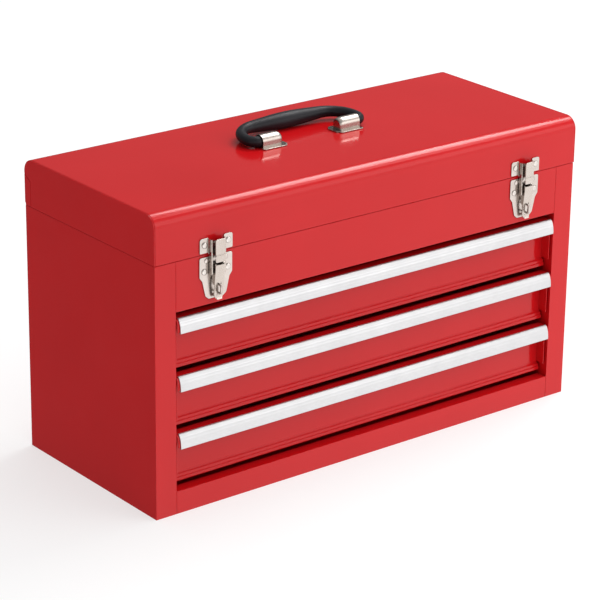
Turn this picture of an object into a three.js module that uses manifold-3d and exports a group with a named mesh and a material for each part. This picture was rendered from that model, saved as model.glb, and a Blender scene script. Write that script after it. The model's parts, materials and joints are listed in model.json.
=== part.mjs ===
// Portable three-drawer steel tool chest with a lift-up lid, two draw latches and a folding carry handle.
// Millimetres. +X to the right, -Y to the front (drawer side), +Z up. Origin: centre of the flat underside.
import * as THREE from 'three';
import { mergeVertices } from 'three/addons/utils/BufferGeometryUtils.js';
import Module from 'manifold-3d';

const wasm = await Module();
wasm.setup();

// ---- driving dimensions ----
const LID_HALF = 260;            // half of the 520 mm overall width
const BODY_HALF = 259.3;         // the lid stands 0.7 mm proud of the body at each side
const FRONT_LID = -107.5;        // 215 mm deep lid
const FRONT = -107.0;            // body front plane
const BACK = 107.5;
const HEIGHT = 300;
const SEAM = 252;                // top of the body
const LID_BOTTOM = 252.4;
const LID_R = 13;                // rolled front and back edges of the lid
const T = 1.0;                   // sheet thickness
const BAY_HALF = 236;            // 472 mm wide drawer bay
const BAY_Z0 = 23;               // 180 mm high drawer bay
const BAY_Z1 = 203;
const DRAWER_Z = [143.5, 85.8, 28.1]; // underside of each drawer front, top drawer first
const FACE_Y = -93.8;            // drawer fronts stand 13 mm behind the posts
const FACE_H = 51.7;
const PULL_HALF = 233;
const SLIDE_Z = 22;              // slide centre above the underside of the drawer front
const HINGE_Y = 110.2;
const HINGE_Z = 252.2;
const HINGE_HALF = 238;
const KNUCKLES = 12;
const STAY_A = [86.2, 238.2];    // pivot on the body side
const STAY_S = [85.2, 258.2];    // guide stud on the lid side
const LATCH_X = 191.5;
const RIVET_U = 13.4;            // latch rivets either side of its middle
const RIVET_Z = [236, 262];      // base plate and keeper rivets
const LATCH_P1 = [-112.0, 241];  // lever pivot (y, z)
const LATCH_P2 = [-111.0, 234.2];  // link pivot (y, z)
const HANDLE_Z = 306.4;          // handle axis
const HANDLE_TILT = 0.0645;      // the folded grip rests on the lid
const HANDLE_HALF = 74.6;        // half of the overall length

const paint = { color: 0xb81a1e, roughness: 0.28, metalness: 0.0 };
const steel = { color: 0xc9c2b6, roughness: 0.32, metalness: 1.0 };
const zinc = { color: 0xa9adb0, roughness: 0.4, metalness: 1.0 };
const alu = { color: 0xe8eaec, roughness: 0.3, metalness: 1.0 };
const black = { color: 0x1c1d20, roughness: 0.45, metalness: 0.0 };

// ---- solids ----
function solid(geometry) {
  const g = geometry.index ? geometry.clone() : geometry.clone();
  g.deleteAttribute('normal');
  g.deleteAttribute('uv');
  const m = mergeVertices(g, 1e-4);
  return new wasm.Manifold(new wasm.Mesh({
    numProp: 3,
    vertProperties: new Float32Array(m.attributes.position.array),
    triVerts: new Uint32Array(m.index.array),
  }));
}
function join(...parts) {
  return parts.map((p) => (p.isBufferGeometry ? solid(p) : p)).reduce((a, b) => a.add(b));
}
function cut(a, ...parts) {
  return parts.map((p) => (p.isBufferGeometry ? solid(p) : p)).reduce((m, b) => m.subtract(b), a.isBufferGeometry ? solid(a) : a);
}
function geometryOf(a) {
  if (a.isBufferGeometry) return a;
  const m = a.getMesh();
  const g = new THREE.BufferGeometry();
  g.setAttribute('position', new THREE.BufferAttribute(new Float32Array(m.vertProperties), 3));
  g.setIndex(new THREE.BufferAttribute(new Uint32Array(m.triVerts), 1));
  g.computeVertexNormals();
  return g;
}
function box(x0, x1, y0, y1, z0, z1) {
  const [a, b] = [Math.min(x0, x1), Math.max(x0, x1)];
  const g = new THREE.BoxGeometry(b - a, y1 - y0, z1 - z0);
  g.translate((a + b) / 2, (y0 + y1) / 2, (z0 + z1) / 2);
  return g;
}
function shapeOf(points, holes = []) {
  const s = new THREE.Shape(points.map(([u, v]) => new THREE.Vector2(u, v)));
  for (const h of holes) s.holes.push(new THREE.Path(h.map(([u, v]) => new THREE.Vector2(u, v))));
  return s;
}
function prism(points, depth, holes) {
  return new THREE.ExtrudeGeometry(shapeOf(points, holes), { depth, bevelEnabled: false, steps: 1 });
}
// a (y, z) outline pushed along X from x0 to x1
function prismX(points, x0, x1, holes = []) {
  const [a, b] = [Math.min(x0, x1), Math.max(x0, x1)];
  const g = prism(points, b - a, holes);
  g.applyMatrix4(new THREE.Matrix4().makeBasis(new THREE.Vector3(0, 1, 0), new THREE.Vector3(0, 0, 1), new THREE.Vector3(1, 0, 0)));
  g.translate(a, 0, 0);
  return g;
}
// an (x, z) outline pushed along Y from y0 to y1
function prismY(points, y0, y1, holes = []) {
  const g = prism(points, y1 - y0, holes);
  g.applyMatrix4(new THREE.Matrix4().makeBasis(new THREE.Vector3(1, 0, 0), new THREE.Vector3(0, 0, 1), new THREE.Vector3(0, -1, 0)));
  g.translate(0, y1, 0);
  return g;
}
function arc(cu, cv, ru, rv, a0, a1, n) {
  const out = [];
  for (let i = 0; i <= n; i++) {
    const a = a0 + ((a1 - a0) * i) / n;
    out.push([cu + ru * Math.cos(a), cv + rv * Math.sin(a)]);
  }
  return out;
}
function circle(cu, cv, r, n) {
  return arc(cu, cv, r, r, Math.PI / n, Math.PI / n + 2 * Math.PI * (1 - 1 / n), n - 1);
}
// a round bar along Y or X
function rodY(x, y0, y1, z, r, n) {
  const g = new THREE.CylinderGeometry(r, r, y1 - y0, n);
  g.translate(x, (y0 + y1) / 2, z);
  return g;
}
function rodX(x0, x1, y, z, r, n) {
  const g = new THREE.CylinderGeometry(r, r, Math.abs(x1 - x0), n);
  g.rotateZ(Math.PI / 2);
  g.translate((x0 + x1) / 2, y, z);
  return g;
}
// the closed outline of a bent sheet: its outer line, then the same line set in by t
function bent(points, t) {
  const n = points.length;
  const normals = [];
  for (let i = 0; i < n - 1; i++) {
    const dx = points[i + 1][0] - points[i][0];
    const dy = points[i + 1][1] - points[i][1];
    const l = Math.hypot(dx, dy);
    normals.push([-dy / l, dx / l]);
  }
  const inner = points.map(([x, y], i) => {
    const a = normals[Math.max(0, i - 1)];
    const b = normals[Math.min(n - 2, i)];
    const k = t / (1 + a[0] * b[0] + a[1] * b[1]);
    return [x + (a[0] + b[0]) * k, y + (a[1] + b[1]) * k];
  });
  return points.concat(inner.reverse());
}

const chest = new THREE.Group();
function part(name, shape, look, parent = chest) {
  const mesh = new THREE.Mesh(geometryOf(shape), new THREE.MeshStandardMaterial(look));
  mesh.name = name;
  parent.add(mesh);
  return mesh;
}
const sides = [['left', -1], ['right', 1]];

// ---- cabinet ----
function prismZ(points, z0, z1) {
  const g = prism(points, z1 - z0);
  g.translate(0, 0, z0);
  return g;
}
for (const [side, s] of sides) {
  const flip = (points) => (s > 0 ? points : points.map(([x, y]) => [-x, y]).reverse());
  const B = BODY_HALF;
  const P = BAY_HALF;
  part(`side_panel_${side}`, join(
    // front post, wall and back flange in one bent sheet
    prismZ(flip([[P, FRONT], [B, FRONT], [B, 106.2], [246, 106.2], [246, 105.2], [B - T, 105.2], [B - T, FRONT + T], [P, FRONT + T]]), 0, SEAM),
    // post return, the wall of the drawer bay
    box(s * P, s * (P + T), FRONT + 0.4, -94.5, 1.3, BAY_Z1 - 0.3),
    // shelf and rim that goes up inside the lid
    prismZ(flip([[P + 0.6, FRONT + 0.3], [B - 0.3, FRONT + 0.3], [B - 0.3, 44.7], [256.6, 44.7], [256.6, -104.3], [P + 0.6, -104.3]]), SEAM - T, SEAM - 0.2),
    prismZ(flip([[P + 0.3, -105], [257.3, -105], [257.3, 45], [256.3, 45], [256.3, -104], [P + 0.3, -104]]), SEAM - 0.8, 259),
  ), paint);
}
part('back_panel', box(-BODY_HALF, BODY_HALF, BACK - T, BACK, 0, SEAM), paint);
part('bottom_panel', join(
  box(-258, 258, -105.7, 104.9, 0, T),
  box(-235.7, 235.7, FRONT, -105.6, 0, T),
  box(-235.7, 235.7, FRONT, FRONT + T, 0, BAY_Z0),
  box(-235.7, 235.7, FRONT, -94.8, BAY_Z0 - T, BAY_Z0),
  box(-235.7, 235.7, -95.8, -94.8, 14, BAY_Z0),
), paint);
const fasciaHoles = [];
for (const x of [-LATCH_X, LATCH_X]) for (const u of [-RIVET_U, RIVET_U]) fasciaHoles.push(rodY(x + u, -110, -103, RIVET_Z[0], 1.9, 8));
part('front_fascia', cut(join(
  box(-235.7, 235.7, FRONT, FRONT + T, BAY_Z1, SEAM),
  box(-235.7, 235.7, FRONT, -94.8, BAY_Z1, BAY_Z1 + T),
  box(-235.7, 235.7, FRONT, -104, SEAM - T, SEAM),
  box(-235.7, 235.7, -105, -104, SEAM - T, 259),
  ...sides.flatMap(([, s]) => [
    box(s * 225, s * 252, -105.7, -104.7, 212, 245),
    box(s * 225, s * 235.7, -106.2, -104.7, 212, 245),
  ]),
), ...fasciaHoles), paint);
part('till_floor', cut(box(-258, 258, -104.2, 104.9, 205, 208.5), box(-257, 257, -103.2, 103.9, 206, 210)), paint);
for (const [side, s] of sides) {
  part(`slide_bracket_${side}`, join(
    box(s * 236.2, s * 237.2, -93.5, 103, 1.3, 202.5),
    box(s * 236.2, s * 246, -93.5, -92.5, 1.3, 202.5),
    box(s * 236.2, s * 246, 102, 103, 1.3, 202.5),
  ), paint);
}

// ---- lid ----
const H = Math.PI / 2;
const lidLine = [
  [FRONT_LID, LID_BOTTOM],
  ...arc(FRONT_LID + LID_R, HEIGHT - LID_R, LID_R, LID_R, Math.PI, H, 6),
  ...arc(BACK - LID_R, HEIGHT - LID_R, LID_R, LID_R, H, 0, 6),
  [BACK, LID_BOTTOM],
];
const lidHoles = [];
for (const x of [-LATCH_X, LATCH_X]) for (const u of [-RIVET_U, RIVET_U]) lidHoles.push(rodY(x + u, -110, -103, RIVET_Z[1], 1.9, 8));
part('lid_shell', cut(prismX(bent(lidLine, -T), -258.7, 258.7), ...lidHoles), paint);
for (const [side, s] of sides) {
  part(`lid_end_${side}`, join(
    prismX(lidLine, s * 259, s * LID_HALF),
    box(s * 249, s * 259.2, -85, 85, 297.9, 298.7),
  ), paint);
}

// ---- piano hinge ----
const pitch = (2 * HINGE_HALF) / KNUCKLES;
function leaf(first, plate) {
  const pieces = [plate];
  for (let i = first; i < KNUCKLES; i += 2) {
    const x0 = -HINGE_HALF + i * pitch + 0.2;
    const x1 = x0 + pitch - 0.4;
    pieces.push(prismX(circle(HINGE_Y, HINGE_Z, 2.4, 12), x0, x1, [circle(HINGE_Y, HINGE_Z, 1.6, 12)]));
    pieces.push(first === 0
      ? box(x0, x1, 107.9, 108.55, 249, HINGE_Z)
      : box(x0, x1, 107.9, 108.55, HINGE_Z, 255.4));
  }
  return join(...pieces);
}
part('hinge_leaf_body', leaf(0, box(-HINGE_HALF, HINGE_HALF, 107.9, 108.8, 236, 249.3)), zinc);
part('hinge_leaf_lid', leaf(1, box(-HINGE_HALF, HINGE_HALF, 107.9, 108.8, 255.1, 268)), zinc);
part('hinge_pin', rodX(-HINGE_HALF - 1, HINGE_HALF + 1, HINGE_Y, HINGE_Z, 1.2, 10), zinc);

// ---- lid stay: a slotted arm that turns on the body and slides on the lid's stud ----
const stayLength = Math.hypot(STAY_S[0] - STAY_A[0], STAY_S[1] - STAY_A[1]);
const slotEnd = 50.6;
const arm = part('lid_stay_arm', prismX(
  [...arc(0, 0, 5, 5, H, 3 * H, 6), ...arc(slotEnd, 0, 5, 5, -H, H, 6)],
  -0.75, 0.75,
  [circle(0, 0, 3.3, 12), [...arc(stayLength - 0.6, 0, 3.2, 3.2, H, 3 * H, 5), ...arc(slotEnd, 0, 3.2, 3.2, -H, H, 5)]],
), zinc);
arm.position.set(251.75, STAY_A[0], STAY_A[1]);
arm.rotation.x = Math.atan2(STAY_S[1] - STAY_A[1], STAY_S[0] - STAY_A[0]);
function stud([y, z], x0, r) {
  const g = new THREE.LatheGeometry([[0, 0], [4.5, 0], [4.5, x0 - 252.9], [r, x0 - 252.9], [r, x0 - 250.6], [5.2, x0 - 250.6], [4.2, x0 - 249.2], [0, x0 - 249.2]]
    .map(([u, v]) => new THREE.Vector2(u, v)), 12);
  g.rotateZ(H);                    // the stud points to the middle of the chest
  g.translate(x0, y, z);
  return solid(g);
}
part('lid_stay_body_stud', stud(STAY_A, 258.1, 2.8), zinc);
part('lid_stay_lid_stud', stud(STAY_S, 258.8, 2.0), zinc);

// ---- handle ----
for (const [side, s] of sides) {
  const a = HANDLE_Z;
  const arch = (r) => [[r, 300.3], ...arc(0, a, r, r, 0, Math.PI, 10), [-r, 300.3]];
  part(`handle_bracket_${side}`, join(
    prismX([...arch(6.8), ...arch(5.8).reverse()], s * 37, s * 60),
    prismX(arch(6.8), s * 35.6, s * 37),
    box(s * 33, s * 62, 5.8, 11.5, 300.3, 301.3),
    box(s * 33, s * 62, -11.5, -5.8, 300.3, 301.3),
    box(s * 30.5, s * 35.8, -9, 9, 300.3, 301.3),
  ), steel);
}
const handle = new THREE.Group();
handle.position.set(0, 0, HANDLE_Z);
handle.rotation.x = HANDLE_TILT;
chest.add(handle);
class Bail extends THREE.Curve {
  // half-width, reach and corner radii of the flat bail, drawn in the plane of the folded handle
  getPoint(t, target = new THREE.Vector3()) {
    const hx = HANDLE_HALF - 6.2;
    const reach = 36;
    const r1 = 8;
    const r2 = 27;
    const parts = [
      ['line', [-39, 0], [-hx + r1, 0]],
      ['arc', [-hx + r1, r1], r1, -H, -2 * H],
      ['line', [-hx, r1], [-hx, reach - r2]],
      ['arc', [-hx + r2, reach - r2], r2, 2 * H, H],
      ['line', [-hx + r2, reach], [hx - r2, reach]],
      ['arc', [hx - r2, reach - r2], r2, H, 0],
      ['line', [hx, reach - r2], [hx, r1]],
      ['arc', [hx - r1, r1], r1, 0, -H],
      ['line', [hx - r1, 0], [39, 0]],
    ];
    const len = parts.map((p) => (p[0] === 'line' ? Math.hypot(p[2][0] - p[1][0], p[2][1] - p[1][1]) : p[2] * H));
    let d = t * len.reduce((x, y) => x + y, 0);
    let i = 0;
    while (i < parts.length - 1 && d > len[i]) d -= len[i++];
    const f = Math.min(1, d / len[i]);
    const p = parts[i];
    if (p[0] === 'line') return target.set(p[1][0] + (p[2][0] - p[1][0]) * f, p[1][1] + (p[2][1] - p[1][1]) * f, 0);
    const ang = p[3] + (p[4] - p[3]) * f;
    return target.set(p[1][0] + p[2] * Math.cos(ang), p[1][1] + p[2] * Math.sin(ang), 0);
  }
}
const ring = circle(0, 0, 5.3, 10);
const tube = new THREE.ExtrudeGeometry(shapeOf(ring), { steps: 44, bevelEnabled: false, extrudePath: new Bail() });
const swell = new THREE.LatheGeometry(
  [[0, -44], [5, -44], [6.3, -36], [7.5, -22], [8.4, -8], [8.4, 8], [7.5, 22], [6.3, 36], [5, 44], [0, 44]].map(([u, v]) => new THREE.Vector2(u, v)), 14);
swell.rotateZ(H);
swell.translate(0, 36, 0);
part('handle_grip', join(tube, swell), black, handle);

// ---- draw latches ----
const [p1y, p1z] = LATCH_P1;
const [p2y, p2z] = LATCH_P2;
for (const [side, s] of sides) {
  const g = new THREE.Group();
  g.position.x = s * LATCH_X;
  chest.add(g);
  const n = `latch_${side}`;
  part(`${n}_base`, cut(join(
    prismY([[-18.6, 250], [-18.6, 230.5], [-15.6, 226.5], [-11.9, 211.8], [-8.5, 208.6], [8.5, 208.6], [11.9, 211.8], [15.6, 226.5], [18.6, 230.5], [18.6, 250]], -108.3, -107.3),
    ...[-1, 1].map((e) => prismX([[-108, p1z + 1.95], ...arc(p1y, p1z, 1.95, 1.95, H, 3 * H, 8), [-108, p1z - 1.95]], e * 3.4, e * 4.4)),
    prismX([[-108, 223.6], ...arc(-114.6, 220.7, 2.9, 2.9, H, 2 * H, 4), ...arc(-114.6, 215.9, 2.9, 2.9, 2 * H, 3 * H, 4), [-108, 213]], -1.1, 1.1,
      [[[-113.4, 222.2], [-115.2, 222.2], [-116.1, 221], [-116.1, 215.6], [-115.2, 214.4], [-113.4, 214.4]]]),
  ), rodX(-6, 6, p1y, p1z, 1.15, 12), ...[-1, 1].map((e) => rodY(e * RIVET_U, -110, -106, RIVET_Z[0], 1.9, 8))), steel, g);
  const face = solid(prismX(bent([[-114.2, 208.4], [-112.8, 209.6], [-112.1, 212], [-115.2, 238], [-115.4, 242.3]], -1), -5.4, 5.4))
    .intersect(solid(prismY([[-5.4, 243], [-5.4, 226], [-4.9, 213.5], [-4.4, 210.5], [-2.6, 208.3], [2.6, 208.3], [4.4, 210.5], [4.9, 213.5], [5.4, 226], [5.4, 243]], -120, -105)));
  part(`${n}_lever`, cut(join(
    face,
    ...[-1, 1].map((e) => prismX([[-113.2, 223], [-115, 237.6], [-115.2, 241.8], [-114.4, 243], [-113.3, 243.9], [-112.3, 244.2], [-110.7, 243.7], [-109.4, 242.3], [-109.1, 241], [-109.1, 231], [-110.8, 223]], e * 4.6, e * 5.4)),
    ...[-1, 1].map((e) => rodX(e * 3.2, e * 4.8, p1y, p1z, 0.85, 10)),
  ), rodX(-8, 8, p2y, p2z, 1.4, 12), box(-2.2, 2.2, -118, -110, 211.9, 224.6)), steel, g);
  part(`${n}_link`, join(
    ...[-1, 1].map((e) => prismX([[-112.3, 266.8], ...arc(p2y, p2z, 1.9, 1.9, 2 * H, 4 * H, 8), [-109.3, 240], [-109.3, 266.8]], e * 6.8, e * 8.2)),
    ...[-1, 1].map((e) => box(e * 5.7, e * 7, -111.9, -110.4, 263.6, 265.4)),
    rodX(-7, 7, p2y, p2z, 1, 10),
  ), steel, g);
  part(`${n}_keeper`, cut(join(
    prismY([[-18.6, 254], [-8.6, 254], [-8.6, 252.4], [8.6, 252.4], [8.6, 254], [18.6, 254], [18.6, 268.5], [8.6, 268.5], [8.6, 258], [-8.6, 258], [-8.6, 268.5], [-18.6, 268.5]], -108.8, -107.8),
    box(-5.4, 5.4, -115, -108, 252.4, 253.4),
    box(-5.4, 5.4, -115.7, -114.6, 251.6, 267.4),
    box(-5.2, 5.2, -115.5, -114.6, 244.8, 252),
  ), ...[-1, 1].map((e) => rodY(e * RIVET_U, -110, -106, RIVET_Z[1], 1.9, 8))), steel, g);
  const rivets = (y0, yPlate, z) => join(
    box(-17.5, 17.5, y0 - 0.8, y0, z - 3.5, z + 3.5),
    ...[-RIVET_U, RIVET_U].flatMap((u) => [
      rodY(u, yPlate - 0.6, y0 - 0.5, z, 1.4, 8),
      (() => {
        const d = new THREE.LatheGeometry([[0, 0], [3.1, 0], [2.7, 0.8], [1.6, 1.3], [0, 1.45]].map(([a, b]) => new THREE.Vector2(a, b)), 10);
        d.rotateX(2 * H);          // the head domes towards the front
        return solid(d).translate([u, yPlate - 0.2, z]);
      })(),
    ]),
  );
  part(`${n}_keeper_rivets`, rivets(-105.4, -108.8, RIVET_Z[1]), steel, g);
  part(`${n}_base_rivets`, rivets(-104.9, -108.3, RIVET_Z[0]), steel, g);
}

// ---- drawers and their ball-bearing slides ----
const ellipse = (ry, rz) => arc(-105, 39.6, ry, rz, H, 2 * H, 6);
const frontLine = [
  [-92.9, 0], [-97.4, 0], [-97.4, 3.2], [-96.6, 3.7], [-96.6, 6.6], [FACE_Y, 8.2], [FACE_Y, FACE_H],
];
DRAWER_Z.forEach((z0, i) => {
  const n = `drawer_${i + 1}`;
  const g = new THREE.Group();
  g.position.z = z0;
  chest.add(g);
  part(`${n}_box`, cut(box(-226.5, 226.5, -92.6, 88, 4, 46), box(-225.6, 225.6, -91.7, 87.1, 4.9, 50)), paint, g);
  part(`${n}_front`, join(
    prismX(bent(frontLine, -0.9), -234, 234),
    prismX([[FACE_Y + 0.9, FACE_H], ...ellipse(4.2, 12.1), ...ellipse(3.3, 11.2).reverse(), [FACE_Y + 0.9, 50.8]], -235, 235),
    ...sides.map(([, s]) => box(s * 233.1, s * 234, -104.5, FACE_Y + 0.5, 9, 51.2)),
  ), paint, g);
  part(`${n}_pull`, prismX([...ellipse(5.5, 13.4), [-110.3, 38.5], [-107.8, 38.5], [-107.8, 39.25], [-109.5, 39.25], ...ellipse(4.5, 12.4).reverse()], -PULL_HALF, PULL_HALF), alu, g);
  for (const [side, s] of sides) {
    const c = (x0, x1, h, t) => bent([[s * x1, SLIDE_Z - h], [s * x0, SLIDE_Z - h], [s * x0, SLIDE_Z + h], [s * x1, SLIDE_Z + h]], s * t);
    part(`${n}_slide_outer_${side}`, prismY(c(235.9, 228.6, 13.5, 0.9), -92, 95), zinc, g);
    part(`${n}_slide_inner_${side}`, prismY(c(226.8, 233.4, 9.2, -0.9), -90, 92), zinc, g);
    const balls = [];
    for (const y of [-14, -5, 5, 14]) for (const e of [-1, 1]) {
      const b = new THREE.SphereGeometry(1.45, 6, 4);
      b.translate(s * 231, y, SLIDE_Z + e * 10.85);
      balls.push(b);
    }
    part(`${n}_slide_cage_${side}`, join(prismY(c(234.5, 229.5, 11.1, 0.6), -20, 20), ...balls), zinc, g);
  }
});

export default chest;
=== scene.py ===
import bpy, bmesh, json, math
import numpy as np
from mathutils import Vector, Matrix


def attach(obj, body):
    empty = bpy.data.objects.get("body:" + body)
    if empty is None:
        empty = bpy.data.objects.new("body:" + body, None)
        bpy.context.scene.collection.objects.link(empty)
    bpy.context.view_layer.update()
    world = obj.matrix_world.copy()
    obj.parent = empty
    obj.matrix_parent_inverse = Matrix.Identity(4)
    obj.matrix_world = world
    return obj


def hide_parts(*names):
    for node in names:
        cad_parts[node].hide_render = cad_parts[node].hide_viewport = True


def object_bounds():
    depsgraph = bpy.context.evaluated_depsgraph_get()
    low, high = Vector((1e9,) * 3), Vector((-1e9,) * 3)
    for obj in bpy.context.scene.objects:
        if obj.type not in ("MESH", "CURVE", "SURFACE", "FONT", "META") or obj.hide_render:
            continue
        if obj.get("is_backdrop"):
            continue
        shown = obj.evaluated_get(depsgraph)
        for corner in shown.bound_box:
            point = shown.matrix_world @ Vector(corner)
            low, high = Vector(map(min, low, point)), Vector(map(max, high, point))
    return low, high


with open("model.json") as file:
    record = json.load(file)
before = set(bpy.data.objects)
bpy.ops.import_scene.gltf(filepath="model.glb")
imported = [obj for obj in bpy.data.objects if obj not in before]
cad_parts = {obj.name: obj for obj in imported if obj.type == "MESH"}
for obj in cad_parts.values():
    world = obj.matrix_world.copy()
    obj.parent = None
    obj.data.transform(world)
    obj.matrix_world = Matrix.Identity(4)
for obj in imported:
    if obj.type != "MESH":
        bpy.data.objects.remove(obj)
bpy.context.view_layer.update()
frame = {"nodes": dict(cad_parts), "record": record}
NODES = frame["nodes"]
BODY = {n: b for b, ns in frame["record"]["behaviour"]["bodies"].items() for n in ns}
SLOT = {s["node"]: s["material_slot"] for s in frame["record"]["subparts"]}
MM = 0.001
PI = math.pi


# ---------------------------------------------------------------- materials
def new_material(name):
    m = bpy.data.materials.new(name)
    m.use_nodes = True
    nt = m.node_tree
    nt.nodes.clear()
    out = nt.nodes.new("ShaderNodeOutputMaterial")
    b = nt.nodes.new("ShaderNodeBsdfPrincipled")
    nt.links.new(b.outputs[0], out.inputs[0])
    return m, nt, b


def noise(nt, coord, scale, detail=2.0, rough=0.5, stretch=None):
    src = coord
    if stretch:
        mp = nt.nodes.new("ShaderNodeMapping")
        mp.inputs["Scale"].default_value = stretch
        nt.links.new(coord, mp.inputs[0])
        src = mp.outputs[0]
    n = nt.nodes.new("ShaderNodeTexNoise")
    n.inputs["Scale"].default_value = scale
    n.inputs["Detail"].default_value = detail
    n.inputs["Roughness"].default_value = rough
    nt.links.new(src, n.inputs["Vector"])
    return n.outputs[0]


def ramp(nt, fac, stops):
    r = nt.nodes.new("ShaderNodeValToRGB")
    el = r.color_ramp.elements
    el[0].position, el[0].color = stops[0][0], (*stops[0][1], 1)
    el[1].position, el[1].color = stops[-1][0], (*stops[-1][1], 1)
    for p, c in stops[1:-1]:
        e = el.new(p)
        e.color = (*c, 1)
    nt.links.new(fac, r.inputs[0])
    return r.outputs[0]


def remap(nt, fac, lo, hi, a=0.0, b=1.0):
    n = nt.nodes.new("ShaderNodeMapRange")
    n.inputs["From Min"].default_value = a
    n.inputs["From Max"].default_value = b
    n.inputs["To Min"].default_value = lo
    n.inputs["To Max"].default_value = hi
    nt.links.new(fac, n.inputs[0])
    return n.outputs[0]


def bump(nt, bsdf, height, distance, strength=1.0, after=None):
    n = nt.nodes.new("ShaderNodeBump")
    n.inputs["Distance"].default_value = distance
    n.inputs["Strength"].default_value = strength
    nt.links.new(height, n.inputs["Height"])
    if after is not None:
        nt.links.new(after, n.inputs["Normal"])
    nt.links.new(n.outputs[0], bsdf.inputs["Normal"])
    return n.outputs[0]


def coords(nt):
    return nt.nodes.new("ShaderNodeTexCoord").outputs["Object"]


def paint_material(name, deep, light, rough=0.2, peel=1.0):
    """Red stove enamel: a glossy film with slight orange peel, and a colour that drifts a little."""
    m, nt, b = new_material(name)
    co = coords(nt)
    big = noise(nt, co, 7.0, 3.0)
    nt.links.new(ramp(nt, big, [(0.3, deep), (0.7, light)]), b.inputs["Base Color"])
    fine = noise(nt, co, 60.0, 4.0, 0.6)
    nt.links.new(remap(nt, fine, rough - 0.03, rough + 0.05, 0.3, 0.7), b.inputs["Roughness"])
    h1 = noise(nt, co, 420.0, 1.0)
    h2 = noise(nt, co, 24.0, 2.0)
    first = bump(nt, b, h2, 0.00025 * peel, 0.35)
    bump(nt, b, h1, 0.00003 * peel, 0.35, first)
    b.inputs["IOR"].default_value = 1.5
    b.inputs["Specular IOR Level"].default_value = 0.22
    return m


def metal_material(name, dark, light, rough, grain=(1, 1, 1), grain_depth=0.00001, spots=0.06):
    m, nt, b = new_material(name)
    co = coords(nt)
    cloud = noise(nt, co, 45.0, 4.0, 0.6)
    nt.links.new(ramp(nt, cloud, [(0.3, dark), (0.7, light)]), b.inputs["Base Color"])
    b.inputs["Metallic"].default_value = 1.0
    g = noise(nt, co, 900.0, 2.0, 0.6, grain)
    nt.links.new(remap(nt, g, rough - spots, rough + spots, 0.3, 0.7), b.inputs["Roughness"])
    bump(nt, b, g, grain_depth, 0.5)
    return m


RED = paint_material("red_enamel", (0.560, 0.0060, 0.0085), (0.600, 0.0080, 0.0110), 0.115)
NICKEL = metal_material("satin_nickel", (0.375, 0.325, 0.290), (0.435, 0.385, 0.350), 0.27, (1, 1, 1), 0.000004, 0.03)
# a lighter copy of the same satin nickel for the flat latch plates: painted light, so the plates read brighter than
# the cap, band, lever and link, which keep the darker copy as painted shade
NICKEL_PAINTED_LIGHT = metal_material("satin_nickel_painted_light", (0.400, 0.348, 0.318), (0.470, 0.418, 0.385), 0.24, (1, 1, 1), 0.000004, 0.03)
RIVET = metal_material("rivet_nickel", (0.42, 0.38, 0.35), (0.50, 0.46, 0.43), 0.20, (1, 1, 1), 0.000003, 0.03)
ZINC = metal_material("zinc_plate", (0.50, 0.52, 0.54), (0.66, 0.67, 0.69), 0.34, (1, 0.05, 1), 0.00001)


def drawn_aluminium():
    """Rolled strip with fine ridges that run along its length."""
    m, nt, b = new_material("bright_aluminium")
    co = coords(nt)
    cloud = noise(nt, co, 45.0, 4.0, 0.6)
    nt.links.new(ramp(nt, cloud, [(0.3, (0.455, 0.450, 0.455)), (0.7, (0.495, 0.490, 0.495))]), b.inputs["Base Color"])
    b.inputs["Metallic"].default_value = 0.8
    g = noise(nt, co, 900.0, 2.0, 0.6, (0.02, 1, 1))
    nt.links.new(remap(nt, g, 0.28, 0.38, 0.3, 0.7), b.inputs["Roughness"])
    sep = nt.nodes.new("ShaderNodeSeparateXYZ")
    nt.links.new(co, sep.inputs[0])
    wave = nt.nodes.new("ShaderNodeMath")
    wave.operation = "MULTIPLY"
    wave.inputs[1].default_value = 2 * PI / 0.0032
    nt.links.new(sep.outputs["Z"], wave.inputs[0])
    sine = nt.nodes.new("ShaderNodeMath")
    sine.operation = "SINE"
    nt.links.new(wave.outputs[0], sine.inputs[0])
    ridges = bump(nt, b, sine.outputs[0], 0.00007, 1.0)
    bump(nt, b, g, 0.000006, 0.5, ridges)
    return m


ALU = drawn_aluminium()


def grip_material():
    m, nt, b = new_material("black_moulded")
    co = coords(nt)
    big = noise(nt, co, 30.0, 3.0)
    nt.links.new(ramp(nt, big, [(0.3, (0.007, 0.007, 0.010)), (0.7, (0.012, 0.012, 0.016))]), b.inputs["Base Color"])
    fine = noise(nt, co, 700.0, 3.0)
    nt.links.new(remap(nt, fine, 0.38, 0.50, 0.3, 0.7), b.inputs["Roughness"])
    b.inputs["Specular IOR Level"].default_value = 0.20
    lumps = noise(nt, co, 75.0, 2.0)
    first = bump(nt, b, lumps, 0.0009, 0.5)
    bump(nt, b, fine, 0.00004, 0.4, first)
    return m


GRIP = grip_material()
MAT = {"red_paint": RED, "nickel_steel": NICKEL, "zinc_steel": ZINC, "bright_aluminium": ALU, "black_grip": GRIP}


# ---------------------------------------------------------------- mesh helpers
def finish_mesh(me, bevel=0.0, segments=2, angle=32, smooth=38):
    """Closes, bevels sharp edges and smooths what is round."""
    bm = bmesh.new()
    bm.from_mesh(me)
    bmesh.ops.remove_doubles(bm, verts=bm.verts, dist=1e-6)
    bmesh.ops.dissolve_limit(bm, angle_limit=math.radians(0.6), verts=bm.verts, edges=bm.edges)
    if bevel > 0:
        edges = [e for e in bm.edges if len(e.link_faces) == 2 and e.calc_face_angle(0) > math.radians(angle)]
        if edges:
            bmesh.ops.bevel(bm, geom=edges, offset=bevel, offset_type="OFFSET", segments=segments, profile=0.5, affect="EDGES", clamp_overlap=True)
    bmesh.ops.recalc_face_normals(bm, faces=bm.faces)
    bm.to_mesh(me)
    bm.free()
    for p in me.polygons:
        p.use_smooth = True
    me.set_sharp_from_angle(angle=math.radians(smooth))
    me.update()


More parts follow.
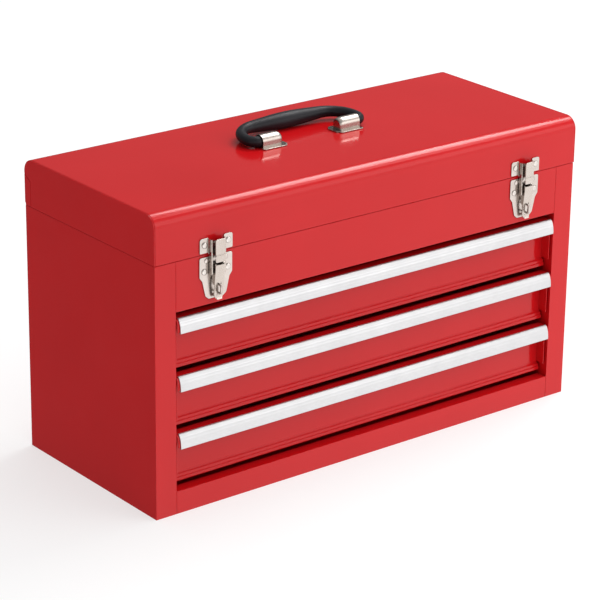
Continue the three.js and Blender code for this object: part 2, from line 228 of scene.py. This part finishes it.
def even_normals(o):
    """Keeps large flats flat beside their rounded edges."""
    w = o.modifiers.new("even_normals", "WEIGHTED_NORMAL")
    w.mode = "FACE_AREA"
    w.weight = 100
    w.keep_sharp = True


def add(name, me, mat, body, replaces=()):
    o = bpy.data.objects.new(name, me)
    bpy.context.scene.collection.objects.link(o)
    even_normals(o)
    me.materials.clear()
    me.materials.append(mat)
    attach(o, body)
    if replaces:
        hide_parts(*replaces)
    return o


def refine(n, bevel=0.3, mat=None, segments=2, angle=32):
    """A finished copy of a CAD node: merged flats, rounded edges."""
    me = NODES[n].data.copy()
    me.name = n + "_fine"
    finish_mesh(me, bevel * MM, segments, angle)
    return add(n + "_fine", me, mat or MAT[SLOT[n]], BODY[n], (n,))


# ---------------------------------------------------------------- piece builders
def arc(cu, cv, ru, rv, a0, a1, n):
    return [(cu + ru * math.cos(a0 + (a1 - a0) * i / n), cv + rv * math.sin(a0 + (a1 - a0) * i / n)) for i in range(n + 1)]


def offset_line(points, t):
    """The open line beside this one, t to its left."""
    out = []
    n = len(points)
    nrm = []
    for k in range(n - 1):
        dx, dy = points[k + 1][0] - points[k][0], points[k + 1][1] - points[k][1]
        l = math.hypot(dx, dy)
        nrm.append((-dy / l, dx / l))
    for k in range(n):
        a = nrm[max(k - 1, 0)]
        b = nrm[min(k, n - 2)]
        m = (a[0] + b[0], a[1] + b[1])
        s = 2.0 / max(m[0] ** 2 + m[1] ** 2, 0.6)
        out.append((points[k][0] + m[0] * s * t, points[k][1] + m[1] * s * t))
    return out


def prism(name, outline, c0, c1, axes="yz", holes=()):
    """A closed outline pushed from c0 to c1; axes names the outline's two directions. All in millimetres."""
    bm = bmesh.new()
    third = ({"x", "y", "z"} - set(axes)).pop()

    def at(p, c):
        d = {axes[0]: p[0], axes[1]: p[1], third: c}
        return Vector((d["x"], d["y"], d["z"])) * MM

    rings = []
    for loop in (outline, *holes):
        lo = [bm.verts.new(at(p, c0)) for p in loop]
        hi = [bm.verts.new(at(p, c1)) for p in loop]
        rings.append((lo, hi))
        n = len(loop)
        for k in range(n):
            bm.faces.new((lo[k], lo[(k + 1) % n], hi[(k + 1) % n], hi[k]))
    for which in (0, 1):
        edges = []
        for r in rings:
            vs = r[which]
            for k in range(len(vs)):
                e = bm.edges.get((vs[k], vs[(k + 1) % len(vs)]))
                edges.append(e)
        if holes:
            bmesh.ops.triangle_fill(bm, use_beauty=True, edges=edges)
        else:
            bm.faces.new(rings[0][which])
    bmesh.ops.recalc_face_normals(bm, faces=bm.faces)
    me = bpy.data.meshes.new(name)
    bm.to_mesh(me)
    bm.free()
    return me


def joined(name, meshes):
    bm = bmesh.new()
    for me in meshes:
        bm.from_mesh(me)
    out = bpy.data.meshes.new(name)
    bm.to_mesh(out)
    bm.free()
    return out


def lathe(name, profile, n, origin, axis):
    """A profile of (radius, height) turned about axis through origin."""
    rot = Vector((0, 0, 1)).rotation_difference(Vector(axis)).to_matrix()
    bm = bmesh.new()
    rows = []
    for r, h in profile:
        if r < 1e-6:
            rows.append([bm.verts.new((Vector(origin) + rot @ Vector((0, 0, h))) * MM)])
        else:
            rows.append([bm.verts.new((Vector(origin) + rot @ Vector((r * math.cos(2 * PI * k / n), r * math.sin(2 * PI * k / n), h))) * MM) for k in range(n)])
    for a, b in zip(rows, rows[1:]):
        for k in range(n):
            k2 = (k + 1) % n
            if len(a) == 1:
                bm.faces.new((a[0], b[k], b[k2]))
            elif len(b) == 1:
                bm.faces.new((a[k], a[k2], b[0]))
            else:
                bm.faces.new((a[k], a[k2], b[k2], b[k]))
    bmesh.ops.recalc_face_normals(bm, faces=bm.faces)
    me = bpy.data.meshes.new(name)
    bm.to_mesh(me)
    bm.free()
    return me


def sweep(name, centres, radii, n=28):
    """A tube of changing radius along a line in the plane z = 0 of its own frame, closed with flat ends."""
    bm = bmesh.new()
    P = [Vector(c) for c in centres]
    rings = []
    for k, c in enumerate(P):
        d = (P[min(k + 1, len(P) - 1)] - P[max(k - 1, 0)]).normalized()
        side = Vector((0, 0, 1)).cross(d).normalized()
        up = d.cross(side).normalized()
        rings.append([bm.verts.new((c + side * radii[k] * math.cos(2 * PI * j / n) + up * radii[k] * math.sin(2 * PI * j / n)) * MM) for j in range(n)])
    for a, b in zip(rings, rings[1:]):
        for j in range(n):
            bm.faces.new((a[j], a[(j + 1) % n], b[(j + 1) % n], b[j]))
    bm.faces.new(rings[0])
    bm.faces.new(rings[-1])
    bmesh.ops.recalc_face_normals(bm, faces=bm.faces)
    me = bpy.data.meshes.new(name)
    bm.to_mesh(me)
    bm.free()
    return me


SIDES = (("left", -1), ("right", 1))
made = set()


def piece(name, me, node, mat=None, bevel=0.0, segments=2, angle=32, smooth=38, extra=()):
    finish_mesh(me, bevel * MM, segments, angle, smooth)
    o = add(name, me, mat or MAT[SLOT[node]], BODY[node], (node, *extra))
    made.add(node)
    made.update(extra)
    return o


# ---- lid: a wrapped sheet with rolled front and back edges, and end panels with folded tabs
R = 13.0
SEAM = 252.65
outer = [(-107.5, SEAM)] + arc(-107.5 + R, 300 - R, R, R, PI, PI / 2, 20) + arc(107.5 - R, 300 - R, R, R, PI / 2, 0, 20) + [(107.5, SEAM)]
inner = offset_line(outer, -1.0)
piece("lid_top_sheet", prism("lid_top_sheet", outer + inner[::-1], -258.7, 258.7), "lid_shell", bevel=0.28)
for side, s in SIDES:
    # the end panel's field, and the folded tab at its back lower corner, with an open seam between them
    field = [(-107.4, SEAM)] + arc(-94.4, 286.9, 13.0, 13.0, PI, PI / 2, 20) + arc(94.4, 286.9, 13.0, 13.0, PI / 2, 0, 20) + [(107.4, 284.6), (96.9, 278.0), (96.9, SEAM)]
    tab = [(97.35, SEAM), (106.3, SEAM), (106.3, SEAM + 2.2), (107.4, SEAM + 2.6), (107.4, 283.9), (97.35, 277.6)]
    plate = prism("a", field, *sorted((s * 258.95, s * 260.0)))
    fold = prism("c", tab, *sorted((s * 258.95, s * 259.93)))
    flange = prism("b", [(-85, 297.9), (85, 297.9), (85, 298.7), (-85, 298.7)], *sorted((s * 249.0, s * 259.1)))
    backing = prism("d", [(92, 253.2), (106.0, 253.2), (106.0, 286.0), (92, 281.0)], *sorted((s * 258.75, s * 259.3)))
    finish_mesh(plate, 0.3 * MM, 3)
    finish_mesh(fold, 0.25 * MM, 2)
    finish_mesh(flange, 0.2 * MM, 2)
    piece(f"lid_end_sheet_{side}", joined("lid_end", [plate, fold, flange, backing]), f"lid_end_{side}", bevel=0.0)

# ---- rivets: smooth domes on a thin foot ring
def rivets(side, s, what, y_plate, y_back, z):
    parts = [prism("strip", [(-17.5, z - 3.5), (17.5, z - 3.5), (17.5, z + 3.5), (-17.5, z + 3.5)], y_back - 0.8, y_back, "xz")]
    for u in (-13.4, 13.4):
        parts.append(lathe("shank", [(0, 0), (1.4, 0), (1.4, y_back - y_plate + 0.2), (0, y_back - y_plate + 0.2)], 20, (u, y_plate - 0.4, z), (0, 1, 0)))
        dome = [(3.1 * math.cos(a) ** 0.9 if a < PI / 2 else 0.0, 0.25 + 1.2 * math.sin(a)) for a in [PI / 2 * k / 10 for k in range(11)]]
        parts.append(lathe("dome", [(0, 0), (3.1, 0)] + dome[:-1] + [(0, 1.45)], 32, (u, y_plate - 0.2 + 0.2, z), (0, -1, 0)))
    me = joined("rivets", parts)
    me.transform(Matrix.Translation((s * 191.5 * MM, 0, 0)))
    return piece(f"latch_{side}_{what}_rivet_heads", me, f"latch_{side}_{what}_rivets", RIVET)


for side, s in SIDES:
    rivets(side, s, "keeper", -108.8, -105.4, 262.0)
    rivets(side, s, "base", -108.3, -104.9, 236.0)

# ---- carry handle
hx, reach, r1, r2 = 68.4, 36.0, 8.0, 27.0
line = [(-39 - 3.05 * k, 0) for k in range(8)] + [(-hx + r1 + r1 * math.cos(a), r1 + r1 * math.sin(a)) for a in [-PI / 2 - PI / 2 * k / 14 for k in range(15)]]
line += [(-hx + r2 + r2 * math.cos(a), reach - r2 + r2 * math.sin(a)) for a in [PI - PI / 2 * k / 26 for k in range(27)]]
line += [(-hx + r2 + (hx - r2) * k / 24, reach) for k in range(1, 25)]
half = line[:-1]
line = half + [(0, reach)] + [(-x, y) for x, y in half[::-1]]


def grip_radius(x, y):
    if y < reach * 0.45:
        return 5.35
    f = max(0.0, min(1.0, (y - reach * 0.45) / (reach * 0.55)))
    a = abs(x)
    swell = 0.5 + 0.5 * math.cos(PI * min(1.0, a / 62.0))
    return 5.35 + f * (2.85 * swell + 0.1)


clean = [line[0]]
for p in line[1:]:
    if math.hypot(p[0] - clean[-1][0], p[1] - clean[-1][1]) > 0.4:
        clean.append(p)
me = sweep("grip", [(x, y, 0) for x, y in clean], [grip_radius(x, y) for x, y in clean], 32)
me.transform(Matrix.Translation((0, 0, 306.4 * MM)) @ Matrix.Rotation(0.0645, 4, "X"))
piece("handle_moulded_grip", me, "handle_grip", smooth=50)

for side, s in SIDES:
    za = 306.4
    # strap arch with a domed closed end and flange feet
    bm = bmesh.new()
    n = 30
    xs = [60.0, 59.4, 52.0, 46.0, 43.0, 40.8, 39.2, 38.0, 37.0, 36.3, 35.9]
    shrink = [1, 1, 1, 1, 0.995, 0.985, 0.965, 0.935, 0.88, 0.80, 0.68]
    rows = []
    for x, k in zip(xs, shrink):
        ring = [(6.8, 300.3)] + arc(0, za, 6.8, 6.8, 0, PI, n) + [(-6.8, 300.3)]
        row = []
        for y, z in ring:
            row.append(bm.verts.new(Vector((s * x, y * k, 300.3 + (z - 300.3) * (0.25 + 0.75 * k) if k < 1 else z)) * MM))
        rows.append(row)
    for a, b in zip(rows, rows[1:]):
        for j in range(len(a) - 1):
            bm.faces.new((a[j], a[j + 1], b[j + 1], b[j]))
    bm.faces.new(rows[-1])
    inner_rows = []
    for x in (60.0, 38.6):
        ring = [(5.8, 300.3)] + arc(0, za, 5.8, 5.8, 0, PI, n) + [(-5.8, 300.3)]
        inner_rows.append([bm.verts.new(Vector((s * x, y, z)) * MM) for y, z in ring])
    for j in range(len(inner_rows[0]) - 1):
        bm.faces.new((inner_rows[0][j], inner_rows[1][j], inner_rows[1][j + 1], inner_rows[0][j + 1]))
        bm.faces.new((rows[0][j], inner_rows[0][j], inner_rows[0][j + 1], rows[0][j + 1]))
    bm.faces.new(inner_rows[1])
    # underside between the outer and the inner skirt
    bm.faces.new([r[0] for r in rows] + [r[-1] for r in rows[::-1]] + [inner_rows[0][-1], inner_rows[1][-1], inner_rows[1][0], inner_rows[0][0]])
    bmesh.ops.recalc_face_normals(bm, faces=bm.faces)
    shell = bpy.data.meshes.new("arch")
    bm.to_mesh(shell)
    bm.free()
    feet = []
    for sy in (-1, 1):
        pts = [(33.0, 6.2), (62.0, 6.2), (62.0, 10.0), (60.5, 11.5), (34.5, 11.5), (33.0, 10.0)]
        feet.append(prism("foot", [(s * a, sy * b) for a, b in pts], 300.3, 301.3, "xy"))
    pts = [(35.8, -7.5), (35.8, 7.5), (32.0, 8.2), (30.5, 6.5), (30.5, -6.5), (32.0, -8.2)]
    feet.append(prism("foot", [(s * a, b) for a, b in pts], 300.3, 301.3, "xy"))
    for f in feet:
        finish_mesh(f, 0.25 * MM, 2)
    piece(f"handle_strap_{side}", joined("strap", [shell, *feet]), f"handle_bracket_{side}", smooth=42)

# ---- drawer fronts with a rolled lip, and bright pulls
def ell(ry, rz, n=16):
    return arc(-105, 39.6, ry, rz, PI / 2, PI, n)


for i, z0 in enumerate((143.5, 85.8, 28.1)):
    n = f"drawer_{i + 1}"
    sh = lambda pts: [(y, z + z0) for y, z in pts]
    low = [(-92.9, 0), (-96.9, 0), (-97.3, 0.4)] + arc(-96.6, 2.0, 0.75, 1.5, PI, PI * 0.62, 5) + [(-96.2, 3.9), (-96.1, 4.4)] + arc(-95.2, 5.4, 0.95, 1.2, PI, PI * 0.6, 5) + [(-94.3, 7.6), (-93.95, 8.4), (-93.8, 9.4), (-93.8, 51.7)]
    face = prism("face", sh(low + offset_line(low, -0.9)[::-1]), -234, 234)
    lip = prism("lip", sh([(-92.9, 51.7)] + ell(4.2, 12.1) + ell(3.3, 11.2)[::-1] + [(-92.9, 50.8)]), -235, 235)
    finish_mesh(face, 0.18 * MM, 2)
    finish_mesh(lip, 0.2 * MM, 2)
    sides_ = []
    for _, s in SIDES:
        f = prism("flange", sh([(-104.5, 9), (-93.3, 9), (-93.3, 51.2), (-104.5, 51.2)]), *sorted((s * 233.05, s * 234.0)))
        finish_mesh(f, 0.3 * MM, 2)
        sides_.append(f)
    piece(f"{n}_face_sheet", joined("front", [face, lip, *sides_]), f"{n}_front", bevel=0.0)
    prof = [(-105.0, 53.0)] + arc(-105, 39.6, 5.5, 13.4, PI / 2, PI, 26)[1:] + [(-110.45, 38.7), (-110.2, 38.45), (-108.0, 38.45), (-107.8, 38.65), (-107.8, 39.1), (-108.0, 39.25), (-109.5, 39.25)] + arc(-105, 39.6, 4.5, 12.4, PI, PI / 2, 22)
    me = prism("pull", sh(prof), -233, 233)
    piece(f"{n}_pull_strip", me, f"{n}_pull", bevel=0.22, segments=3)

# ---- latches: pressed plates with rolled edges
def wire(name, pts, r, n=14):
    """A round wire along (y, z) points in the plane u = 0."""
    bm = bmesh.new()
    P = [Vector((0, y, z)) for y, z in pts]
    rings = []
    for k, c in enumerate(P):
        d = (P[min(k + 1, len(P) - 1)] - P[max(k - 1, 0)]).normalized()
        side_ = Vector((1, 0, 0))
        up = d.cross(side_).normalized()
        rings.append([bm.verts.new((c + side_ * r * math.cos(2 * PI * j / n) + up * r * math.sin(2 * PI * j / n)) * MM) for j in range(n)])
    for p, q in zip(rings, rings[1:]):
        for j in range(n):
            bm.faces.new((p[j], p[(j + 1) % n], q[(j + 1) % n], q[j]))
    bm.faces.new(rings[0])
    bm.faces.new(rings[-1])
    bmesh.ops.recalc_face_normals(bm, faces=bm.faces)
    me = bpy.data.meshes.new(name)
    bm.to_mesh(me)
    bm.free()
    return me


def corner(points, radii, n=5):
    """Rounds an outline's corners."""
    out = []
    m = len(points)
    for k in range(m):
        p, c, q = Vector(points[k - 1]), Vector(points[k]), Vector(points[(k + 1) % m])
        r = radii[k]
        if r <= 0:
            out.append(tuple(c))
            continue
        a = (p - c).normalized()
        b_ = (q - c).normalized()
        half = a.angle(b_) / 2
        t = min(r / math.tan(half), (p - c).length * 0.49, (q - c).length * 0.49)
        for j in range(n + 1):
            f = j / n
            # quadratic arc through the corner
            out.append(tuple((c + a * t) * (1 - f) ** 2 + c * 2 * f * (1 - f) + (c + b_ * t) * f ** 2))
    return out


def plate(name, outline, y0, y1, bevel=0.4, holes=()):
    me = prism(name, outline, y0, y1, "xz", holes)
    finish_mesh(me, bevel * MM, 4, 40)
    return me


for side, s in SIDES:
    shift = Matrix.Translation((s * 191.5 * MM, 0, 0))
    # base plate, pivot ears and padlock loop
    half_ = [(18.6, 250.0), (18.6, 230.6), (15.5, 226.6), (11.9, 211.6), (8.3, 208.6)]
    rr = [2.2, 2.6, 2.4, 3.2, 2.2]
    outline = [(-x, z) for x, z in half_] + half_[::-1]
    outline = corner(outline, rr + rr[::-1])
    parts = [plate("plate", outline, -108.3, -107.35, 0.42)]
    for e in (-1, 1):
        ear = prism("ear", [(-108.1, 242.95)] + arc(-112.0, 241.0, 1.95, 1.95, PI / 2, 3 * PI / 2, 16) + [(-108.1, 239.05)], *sorted((e * 3.4, e * 4.4)), "yz", [arc(-112.0, 241.0, 1.15, 1.15, 0, 2 * PI, 16)[:-1]])
        finish_mesh(ear, 0.15 * MM, 2)
        parts.append(ear)
        # raised pivot pads beside the link, part of the plate's pressing
        pad = lathe("pad", [(0, 0), (2.6, 0), (2.6, 0.25), (2.1, 0.8), (1.1, 1.05), (0, 1.1)], 24, (e * 10.9, -108.3, 246.2), (0, -1, 0))
        finish_mesh(pad, 0.0)
        parts.append(pad)
    loop = [(-108.0, 222.5), (-111.0, 222.5)] + arc(-113.4, 219.4, 3.0, 3.1, PI / 2, PI, 8) + arc(-113.4, 217.2, 3.0, 3.1, PI, 3 * PI / 2, 8) + [(-111.0, 214.1), (-108.0, 214.1)]
    parts.append(wire("loop", loop, 1.05))
    me = joined("base", parts)
    me.transform(shift)
    n = f"latch_{side}_base"
    # the base plate takes the lighter nickel copy: painted light
    piece(f"{n}_pressed", me, n, NICKEL_PAINTED_LIGHT, smooth=42)

    # keeper: eared plate, shelf, hooked cap and the band below it
    eared = [(-18.6, 254.0), (-8.6, 254.0), (-8.6, 252.5), (8.6, 252.5), (8.6, 254.0), (18.6, 254.0), (18.6, 268.5), (8.6, 268.5), (8.6, 258.0), (-8.6, 258.0), (-8.6, 268.5), (-18.6, 268.5)]
    er = [1.2, 0, 0, 0, 0, 1.2, 2.4, 1.6, 0.8, 0.8, 1.6, 2.4]
    parts = [plate("ears", corner(eared, er), -108.8, -107.85, 0.4)]
    shelf = prism("shelf", [(-5.3, 252.5), (5.3, 252.5), (5.3, 253.4), (-5.3, 253.4)], -115.0, -108.0, "xz")
    finish_mesh(shelf, 0.15 * MM, 2)
    cap_outline = corner([(-5.4, 252.3), (5.4, 252.3), (5.4, 267.4), (-5.4, 267.4)], [0.8, 0.8, 1.6, 1.6])
    cap = plate("cap", cap_outline, -115.7, -114.65, 0.5)
    band_outline = corner([(-5.2, 244.8), (5.2, 244.8), (5.2, 251.5), (-5.2, 251.5)], [1.0, 1.0, 0.7, 0.7])
    band = plate("band", band_outline, -115.5, -114.6, 0.44)
    joint = prism("joint", [(-4.6, 250.9), (4.6, 250.9), (4.6, 253.0), (-4.6, 253.0)], -115.05, -114.65, "xz")
    ears_only = parts
    parts = [shelf, cap, band, joint]
    for e in (-1, 1):
        # returned sides of the cap
        ret = prism("return", corner([(-115.2, 253.4), (-115.2, 266.6), (-111.6, 266.6), (-109.0, 263.0), (-109.0, 256.5), (-111.6, 253.4)], [0.5, 0.5, 1.0, 1.0, 1.0, 1.0], 3), *sorted((e * 4.45, e * 5.3)), "yz")
        finish_mesh(ret, 0.2 * MM, 2)
        parts.append(ret)
    me = joined("keeper", parts)
    me.transform(shift)
    n = f"latch_{side}_keeper"
    piece(f"{n}_cap", me, n, smooth=42)
    me = joined("keeper_ears", ears_only)
    me.transform(shift)
    # the eared plate takes the lighter nickel copy: painted light beside the darker cap
    piece(f"{n}_eared_plate", me, n, NICKEL_PAINTED_LIGHT, smooth=42)

    for what, bev in (("lever", 0.36), ("link", 0.36)):
        n = f"latch_{side}_{what}"
        me = NODES[n].data.copy()
        piece(f"{n}_pressed", me, n, bevel=bev, segments=3, angle=28)

# ---- rivet heads along both leaves of the back hinge
for what, body, z in (("body", "cabinet", 242.6), ("lid", "lid", 261.4)):
    heads = []
    for k in range(8):
        dome = [(2.6 * math.cos(PI / 2 * j / 8), 0.2 + 1.1 * math.sin(PI / 2 * j / 8)) for j in range(8)]
        heads.append(lathe("head", [(0, 0), (2.6, 0)] + dome + [(0, 1.3)], 24, (-217 + 62 * k, 108.75, z), (0, 1, 0)))
    me = joined("hinge_heads", heads)
    finish_mesh(me, 0.0)
    add(f"hinge_rivet_heads_{what}", me, ZINC, body)

# ---- everything else keeps its CAD mesh, with merged flats and softened edges
for n in sorted(NODES):
    NODES[n].data.materials.clear()
    NODES[n].data.materials.append(MAT[SLOT[n]])
    if n in made:
        continue
    refine(n, 0.25)

# ---------------------------------------------------------------- stage
def stage_plane():
    me = bpy.data.meshes.new("floor")
    s = 40.0
    me.from_pydata([(-s, -s, 0), (s, -s, 0), (s, s, 0), (-s, s, 0)], [], [(0, 1, 2, 3)])
    o = bpy.data.objects.new("floor", me)
    bpy.context.scene.collection.objects.link(o)
    m, nt, b = new_material("pale_floor")
    co = coords(nt)
    f = noise(nt, co, 1.5, 2.0)
    nt.links.new(ramp(nt, f, [(0.3, (0.40, 0.40, 0.40)), (0.7, (0.42, 0.42, 0.42))]), b.inputs["Base Color"])
    b.inputs["Roughness"].default_value = 0.9
    b.inputs["Specular IOR Level"].default_value = 0.0
    b.inputs["Emission Color"].default_value = (1, 1, 1, 1)
    b.inputs["Emission Strength"].default_value = 0.60
    me.materials.append(m)
    o.visible_glossy = False
    o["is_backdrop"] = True


stage_plane()
scene = bpy.context.scene
world = bpy.data.worlds.new("studio")
world.use_nodes = True
scene.world = world
wt = world.node_tree
wt.nodes.clear()
w_out = wt.nodes.new("ShaderNodeOutputWorld")
w_dir = wt.nodes.new("ShaderNodeTexCoord").outputs["Generated"]


def lobe(direction, lo, hi, amount):
    """amount times a smooth rise of the angle to a direction."""
    d = wt.nodes.new("ShaderNodeVectorMath")
    d.operation = "DOT_PRODUCT"
    d.inputs[1].default_value = Vector(direction).normalized()
    wt.links.new(w_dir, d.inputs[0])
    r = wt.nodes.new("ShaderNodeMapRange")
    r.interpolation_type = "SMOOTHSTEP"
    r.inputs["From Min"].default_value, r.inputs["From Max"].default_value = lo, hi
    r.inputs["To Min"].default_value, r.inputs["To Max"].default_value = 0.0, amount
    wt.links.new(d.outputs["Value"], r.inputs[0])
    return r.outputs[0]


def summed(*values):
    total = values[0]
    for v in values[1:]:
        m = wt.nodes.new("ShaderNodeMath")
        m.operation = "ADD"
        wt.links.new(total, m.inputs[0])
        if isinstance(v, float):
            m.inputs[1].default_value = v
        else:
            wt.links.new(v, m.inputs[1])
        total = m.outputs[0]
    return total


def backdrop(strength):
    n = wt.nodes.new("ShaderNodeBackground")
    if isinstance(strength, float):
        n.inputs[1].default_value = strength
    else:
        wt.links.new(strength, n.inputs[1])
    n.inputs[0].default_value = (1, 1, 1, 1)
    return n.outputs[0]


soft = backdrop(summed(lobe((0.55, -0.25, 0.85), 0.05, 1.0, 1.20), 0.19))
gloss = backdrop(summed(lobe((0, 0, 1), 0.42, 0.92, 0.50), lobe((0.58, -0.73, -0.30), 0.30, 0.95, 1.60), lobe((-0.62, -0.68, -0.38), 0.40, 0.95, 1.10), 0.25))
w_lp = wt.nodes.new("ShaderNodeLightPath")
w_a = wt.nodes.new("ShaderNodeMixShader")
wt.links.new(w_lp.outputs["Is Glossy Ray"], w_a.inputs[0])
wt.links.new(soft, w_a.inputs[1])
wt.links.new(gloss, w_a.inputs[2])
w_b = wt.nodes.new("ShaderNodeMixShader")
wt.links.new(w_lp.outputs["Is Camera Ray"], w_b.inputs[0])
wt.links.new(w_a.outputs[0], w_b.inputs[1])
wt.links.new(backdrop(1.0), w_b.inputs[2])
wt.links.new(w_b.outputs[0], w_out.inputs[0])


def area(name, loc, target, size, power, size_y=None, colour=(1, 1, 1), diffuse=True):
    l = bpy.data.lights.new(name, "AREA")
    l.shape = "RECTANGLE"
    l.size = size
    l.size_y = size_y or size
    l.energy = power
    l.color = colour
    o = bpy.data.objects.new(name, l)
    scene.collection.objects.link(o)
    o.location = loc
    o.visible_camera = False
    o.visible_diffuse = diffuse
    d = Vector(target) - Vector(loc)
    o.rotation_euler = d.to_track_quat("-Z", "Y").to_euler()
    return o


area("key", (1.42, 0.30, 2.1), (0, 0, 0.2), 1.1, 22, 0.8)
area("long_softbox", (1.42, 0.05, 2.12), (0, 0, 0.2), 2.3, 18, 0.8, diffuse=False)
area("floor_front", (0.50, -0.80, 0.50), (0.50, -0.66, 0.0), 1.0, 2.6, 0.7)

# ---------------------------------------------------------------- camera
cam = bpy.data.cameras.new("camera")
cam.sensor_width = 36.0
cam.lens = 2607.2 / 600 * 36.0
cam.clip_end = 60
co = bpy.data.objects.new("camera", cam)
scene.collection.objects.link(co)
yaw, pitch, roll = 0.6702, 0.3668, 0.0134
fwd = Vector((math.sin(yaw) * math.cos(pitch), math.cos(yaw) * math.cos(pitch), -math.sin(pitch)))
right = Vector((math.cos(yaw), -math.sin(yaw), 0))
up = right.cross(fwd)
r2 = right * math.cos(roll) + up * math.sin(roll)
u2 = up * math.cos(roll) - right * math.sin(roll)
M = Matrix((r2, u2, -fwd)).transposed().to_4x4()
M.translation = Vector((-1.52175, -1.91105, 1.06702))
co.matrix_world = M
scene.camera = co
scene.view_settings.view_transform = "Standard"

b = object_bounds()
